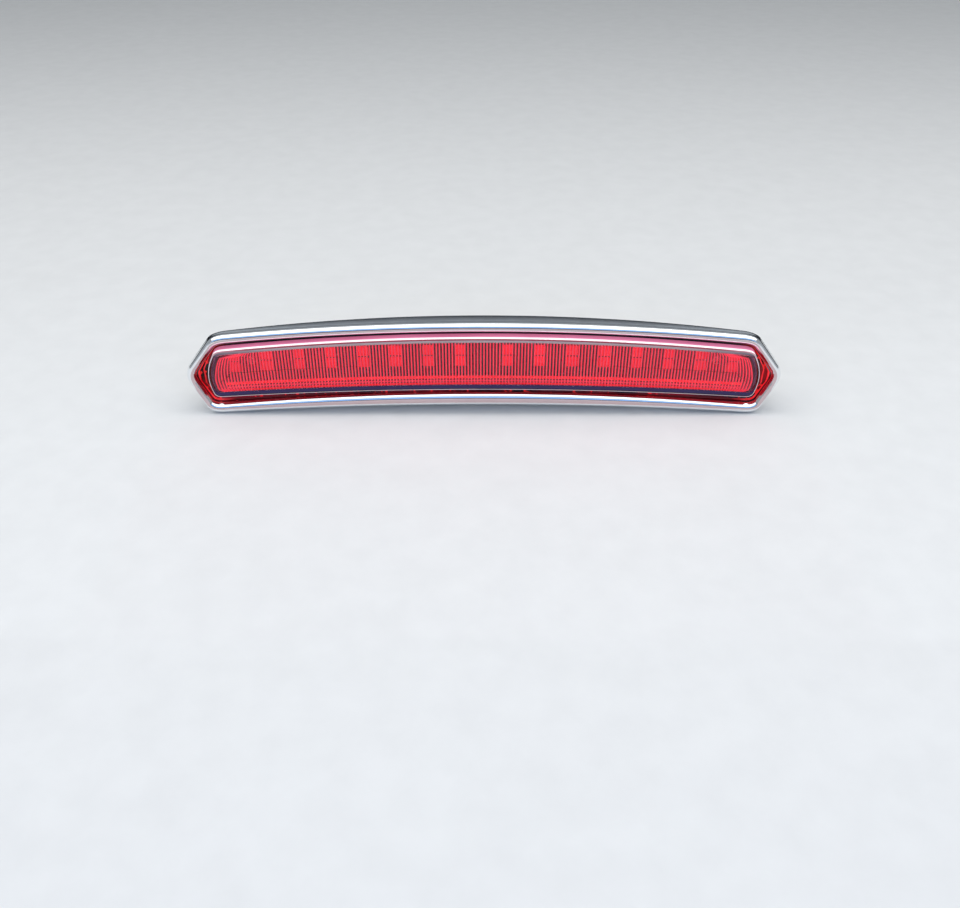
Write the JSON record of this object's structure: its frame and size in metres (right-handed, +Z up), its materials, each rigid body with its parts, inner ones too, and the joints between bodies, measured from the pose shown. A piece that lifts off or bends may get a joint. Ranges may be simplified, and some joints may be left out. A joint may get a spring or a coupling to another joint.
{
  "type": "third brake light",
  "caption": "Slim crowned third brake light: fluted red lens over two rows of light sources, in a chrome surround with pointed ends.",
  "frame": {"origin": "middle of the face that the foam gasket seats on, level with the middle of the fluted field", "axes": "+X across the car, +Z up, +Y out of the back of the lamp into the panel, so the light leaves toward -Y"},
  "size_m": [0.3666, 0.0435, 0.0641],
  "materials": {
    "chrome": "polished",
    "foam_tape": "matt foam",
    "red_lens": "glossy transparent red",
    "black_sealant": "satin",
    "red_optic": "glossy fluted",
    "dark_tray": "fine matt",
    "board": "solder mask",
    "zinc_steel": "plated",
    "chip_black": "moulded",
    "chip_tan": "ceramic",
    "black_housing": "fine grain",
    "grey_foam": "closed-cell foam",
    "vent_plastic": "moulded",
    "socket_plastic": "moulded",
    "orange_rubber": "silicone",
    "tinned_brass": "tinned",
    "yellow_zinc": "yellow passivated",
    "led_epoxy": "clear red epoxy"
  },
  "bodies": {
    "lamp": {"bezel": "chrome", "bezel_tape": "foam_tape", "lens": "red_lens", "lens_seal": "black_sealant", "flute_plate": "red_optic", "reflector_tray": "dark_tray", "circuit_board": "board", "board_screws": "zinc_steel", "resistors": "chip_black", "diode": "chip_black", "capacitor": "chip_tan", "housing": "black_housing", "foam_gasket": "grey_foam", "vent_plug": "vent_plastic", "connector_socket": "socket_plastic", "connector_seal": "orange_rubber", "terminal_live": "tinned_brass", "terminal_ground": "tinned_brass", "stud_left": "yellow_zinc", "stud_right": "yellow_zinc", "led_upper_01": "led_epoxy", "led_upper_02": "led_epoxy", "led_upper_03": "led_epoxy", "led_upper_04": "led_epoxy", "led_upper_05": "led_epoxy", "led_upper_06": "led_epoxy", "led_upper_07": "led_epoxy", "led_upper_08": "led_epoxy", "led_upper_09": "led_epoxy", "led_upper_10": "led_epoxy", "led_upper_11": "led_epoxy", "led_upper_12": "led_epoxy", "led_upper_13": "led_epoxy", "led_upper_14": "led_epoxy", "led_upper_15": "led_epoxy", "led_upper_16": "led_epoxy", "led_lower_01": "led_epoxy", "led_lower_02": "led_epoxy", "led_lower_03": "led_epoxy", "led_lower_04": "led_epoxy", "led_lower_05": "led_epoxy", "led_lower_06": "led_epoxy", "led_lower_07": "led_epoxy", "led_lower_08": "led_epoxy", "led_lower_09": "led_epoxy", "led_lower_10": "led_epoxy", "led_lower_11": "led_epoxy", "led_lower_12": "led_epoxy", "led_lower_13": "led_epoxy", "led_lower_14": "led_epoxy", "led_lower_15": "led_epoxy", "led_lower_16": "led_epoxy"},
    "left_nut": {"nut_left": "yellow_zinc"},
    "right_nut": {"nut_right": "yellow_zinc"}
  },
  "joints": [
    {"name": "left_nut_travel", "type": "slide", "parent": "lamp", "child": "left_nut", "axis": [0, 1, 0], "range_m": [0, 0.0098]},
    {"name": "right_nut_travel", "type": "slide", "parent": "lamp", "child": "right_nut", "axis": [0, 1, 0], "range_m": [0, 0.0098]}
  ]
}
